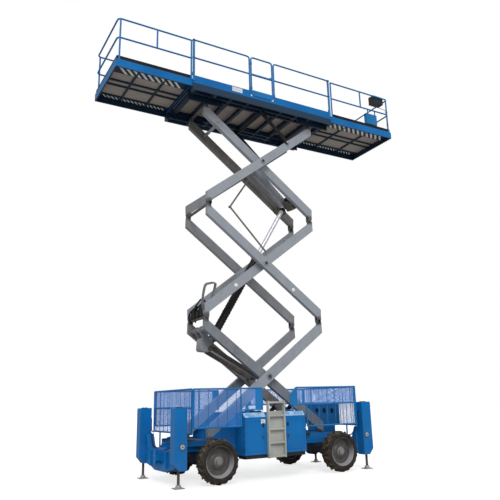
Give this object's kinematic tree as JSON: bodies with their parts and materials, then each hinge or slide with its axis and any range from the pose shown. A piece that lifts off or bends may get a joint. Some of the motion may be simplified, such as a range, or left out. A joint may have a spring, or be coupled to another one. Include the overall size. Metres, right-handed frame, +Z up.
{
  "type": "scissor lift",
  "caption": "Rough-terrain scissor lift: outrigger chassis, raised scissor stack and a railed platform with roll-out decks at both ends.",
  "frame": {"origin": "on the ground under the middle of the bounding box", "axes": "+X towards the steering end, +Y towards the side without the ladder, +Z up"},
  "size_m": [7.655, 2.296, 9.567],
  "materials": {
    "blue_paint": "glossy blue enamel",
    "dark_blue": "semi-gloss navy enamel",
    "arm_grey": "satin grey paint",
    "cylinder_black": "satin black paint",
    "chrome": "hard chrome plating",
    "steel": "grey painted steel",
    "wheel_grey": "satin grey paint",
    "cream_paint": "satin cream paint",
    "black_plastic": "moulded matt",
    "tyre": "matt rubber"
  },
  "bodies": {
    "chassis": {"chassis_frame": "dark_blue", "rear_beam": "blue_paint", "front_beam": "blue_paint", "rear_axle": "dark_blue", "front_axle": "dark_blue", "outrigger_rear_near": "blue_paint", "outrigger_rear_far": "blue_paint", "outrigger_front_near": "blue_paint", "outrigger_front_far": "blue_paint", "side_tray_near": "dark_blue", "side_tray_far": "dark_blue", "engine_block": "steel", "ladder": "cream_paint", "guard_near_rear": "blue_paint", "guard_near_front": "blue_paint", "guard_far_rear": "blue_paint", "guard_far_front": "blue_paint", "guard_rear_end": "blue_paint", "guard_front_end": "blue_paint"},
    "centring_link_low": {"centring_link_low": "arm_grey"},
    "arm_inner_low": {"arm_inner_low": "arm_grey"},
    "arm_outer_low": {"arm_outer_low": "arm_grey"},
    "arm_inner_middle": {"arm_inner_middle": "arm_grey"},
    "arm_outer_middle": {"arm_outer_middle": "arm_grey"},
    "arm_outer_high": {"arm_outer_high": "arm_grey"},
    "arm_inner_high": {"arm_inner_high": "arm_grey"},
    "centring_link_high": {"centring_link_high": "arm_grey"},
    "platform": {"platform_frame": "dark_blue", "main_deck": "blue_paint", "rail_near_rear": "blue_paint", "rail_near_front": "blue_paint", "rail_far": "blue_paint"},
    "lift_cylinder_barrel": {"lift_cylinder_barrel": "cylinder_black"},
    "lift_cylinder_rod": {"lift_cylinder_rod": "chrome"},
    "left_deck": {"left_deck": "blue_paint", "left_rails": "blue_paint"},
    "right_deck": {"right_deck": "blue_paint", "right_rails": "blue_paint", "control_box": "black_plastic", "document_box": "blue_paint"},
    "gate": {"gate": "blue_paint"},
    "knuckle_near": {"knuckle_near": "steel"},
    "knuckle_far": {"knuckle_far": "steel"},
    "wheel_rear_near": {"tyre_rear_near": "tyre", "rim_rear_near": "wheel_grey"},
    "leg_rear_near": {"leg_rear_near": "steel"},
    "door_rear_near": {"door_rear_near": "blue_paint"},
    "wheel_rear_far": {"tyre_rear_far": "tyre", "rim_rear_far": "wheel_grey"},
    "leg_rear_far": {"leg_rear_far": "steel"},
    "door_rear_far": {"door_rear_far": "blue_paint"},
    "wheel_front_near": {"tyre_front_near": "tyre", "rim_front_near": "wheel_grey"},
    "leg_front_near": {"leg_front_near": "steel"},
    "door_front_near": {"door_front_near": "blue_paint"},
    "wheel_front_far": {"tyre_front_far": "tyre", "rim_front_far": "wheel_grey"},
    "leg_front_far": {"leg_front_far": "steel"},
    "door_front_far": {"door_front_far": "blue_paint"}
  },
  "joints": [
    {"name": "lift", "type": "hinge", "parent": "chassis", "child": "centring_link_low", "pos_m": [-0.1775, 0, 0.736], "axis": [0, -1, 0], "range_deg": [-37.1, 12.5]},
    {"name": "inner_low_fold", "type": "hinge", "parent": "centring_link_low", "child": "arm_inner_low", "pos_m": [0.51546, 0, 1.35625], "axis": [0, -1, 0], "range_deg": [-25.5, 74.7]},
    {"name": "outer_low_fold", "type": "hinge", "parent": "arm_inner_low", "child": "arm_outer_low", "pos_m": [-0.1775, 0, 1.9765], "axis": [0, -1, 0], "range_deg": [-74.7, 25.5]},
    {"name": "inner_middle_fold", "type": "hinge", "parent": "arm_inner_low", "child": "arm_inner_middle", "pos_m": [-1.56341, 0, 3.217], "axis": [0, -1, 0], "range_deg": [-74.7, 25.5]},
    {"name": "outer_middle_fold", "type": "hinge", "parent": "arm_inner_middle", "child": "arm_outer_middle", "pos_m": [-0.1775, 0, 4.4575], "axis": [0, -1, 0], "range_deg": [-25.5, 74.7]},
    {"name": "outer_high_fold", "type": "hinge", "parent": "arm_outer_middle", "child": "arm_outer_high", "pos_m": [-1.56341, 0, 5.698], "axis": [0, -1, 0], "range_deg": [-74.7, 25.5]},
    {"name": "inner_high_fold", "type": "hinge", "parent": "arm_outer_high", "child": "arm_inner_high", "pos_m": [-0.1775, 0, 6.9385], "axis": [0, -1, 0], "range_deg": [-25.5, 74.7]},
    {"name": "centring_link_high_fold", "type": "hinge", "parent": "arm_outer_high", "child": "centring_link_high", "pos_m": [0.51546, 0, 7.55875], "axis": [0, -1, 0], "range_deg": [-25.5, 74.7]},
    {"name": "platform_level", "type": "hinge", "parent": "centring_link_high", "child": "platform", "pos_m": [-0.1775, 0, 8.179], "axis": [0, -1, 0], "range_deg": [-37.6, 13]},
    {"name": "lift_cylinder_tilt", "type": "hinge", "parent": "arm_inner_low", "child": "lift_cylinder_barrel", "pos_m": [-1.3475, 0, 2.6305], "axis": [0, -1, 0], "range_deg": [-79.15, 27]},
    {"name": "lift_cylinder_stroke", "type": "slide", "parent": "lift_cylinder_barrel", "child": "lift_cylinder_rod", "axis": [0.518, 0, 0.8554], "range_m": [-1.3907, 0.4719]},
    {"name": "left_deck_roll", "type": "slide", "parent": "platform", "child": "left_deck", "axis": [1, 0, 0], "range_m": [0, 1.22]},
    {"name": "right_deck_roll", "type": "slide", "parent": "platform", "child": "right_deck", "axis": [-1, 0, 0], "range_m": [0, 1.52]},
    {"name": "gate_swing", "type": "hinge", "parent": "platform", "child": "gate", "pos_m": [-0.5825, -0.8605, 8.457], "axis": [0, 0, 1], "range_deg": [0, 90]},
    {"name": "steer_near", "type": "hinge", "parent": "chassis", "child": "knuckle_near", "pos_m": [1.2625, -0.82, 0.41], "axis": [0, 0, 1], "range_deg": [-35, 35]},
    {"name": "steer_far", "type": "hinge", "parent": "chassis", "child": "knuckle_far", "pos_m": [1.2625, 0.82, 0.41], "axis": [0, 0, 1], "range_deg": [-35, 35]},
    {"name": "wheel_rear_near_spin", "type": "hinge", "parent": "chassis", "child": "wheel_rear_near", "pos_m": [-1.6175, -1.003, 0.41], "axis": [0, 1, 0], "continuous": true},
    {"name": "wheel_rear_far_spin", "type": "hinge", "parent": "chassis", "child": "wheel_rear_far", "pos_m": [-1.6175, 1.003, 0.41], "axis": [0, 1, 0], "continuous": true},
    {"name": "wheel_front_near_spin", "type": "hinge", "parent": "knuckle_near", "child": "wheel_front_near", "pos_m": [1.2625, -1.003, 0.41], "axis": [0, 1, 0], "continuous": true},
    {"name": "wheel_front_far_spin", "type": "hinge", "parent": "knuckle_far", "child": "wheel_front_far", "pos_m": [1.2625, 1.003, 0.41], "axis": [0, 1, 0], "continuous": true},
    {"name": "leg_rear_near_slide", "type": "slide", "parent": "chassis", "child": "leg_rear_near", "axis": [0, 0, 1], "range_m": [-0.12, 0.22]},
    {"name": "leg_rear_far_slide", "type": "slide", "parent": "chassis", "child": "leg_rear_far", "axis": [0, 0, 1], "range_m": [-0.12, 0.22]},
    {"name": "leg_front_near_slide", "type": "slide", "parent": "chassis", "child": "leg_front_near", "axis": [0, 0, 1], "range_m": [-0.12, 0.22]},
    {"name": "leg_front_far_slide", "type": "slide", "parent": "chassis", "child": "leg_front_far", "axis": [0, 0, 1], "range_m": [-0.12, 0.22]},
    {"name": "door_rear_near_swing", "type": "hinge", "parent": "chassis", "child": "door_rear_near", "pos_m": [-1.0675, -1.085, 0.47], "axis": [0, 0, -1], "range_deg": [0, 100]},
    {"name": "door_front_near_swing", "type": "hinge", "parent": "chassis", "child": "door_front_near", "pos_m": [0.3725, -1.085, 0.47], "axis": [0, 0, 1], "range_deg": [0, 100]},
    {"name": "door_rear_far_swing", "type": "hinge", "parent": "chassis", "child": "door_rear_far", "pos_m": [-1.0675, 1.085, 0.47], "axis": [0, 0, 1], "range_deg": [0, 100]},
    {"name": "door_front_far_swing", "type": "hinge", "parent": "chassis", "child": "door_front_far", "pos_m": [0.3725, 1.085, 0.47], "axis": [0, 0, -1], "range_deg": [0, 100]}
  ],
  "couplings": [
    {"joint": "inner_low_fold", "follows": "lift", "ratio": -2},
    {"joint": "outer_low_fold", "follows": "lift", "ratio": 2},
    {"joint": "inner_middle_fold", "follows": "lift", "ratio": 2},
    {"joint": "outer_middle_fold", "follows": "lift", "ratio": -2},
    {"joint": "outer_high_fold", "follows": "lift", "ratio": 2},
    {"joint": "inner_high_fold", "follows": "lift", "ratio": -2},
    {"joint": "centring_link_high_fold", "follows": "lift", "ratio": -2},
    {"joint": "platform_level", "follows": "lift", "ratio": 1},
    {"joint": "lift_cylinder_tilt", "follows": "lift", "ratio": 2.12},
    {"joint": "lift_cylinder_stroke", "follows": "lift", "m_per_rad": 2.14},
    {"joint": "steer_far", "follows": "steer_near", "ratio": 1}
  ]
}
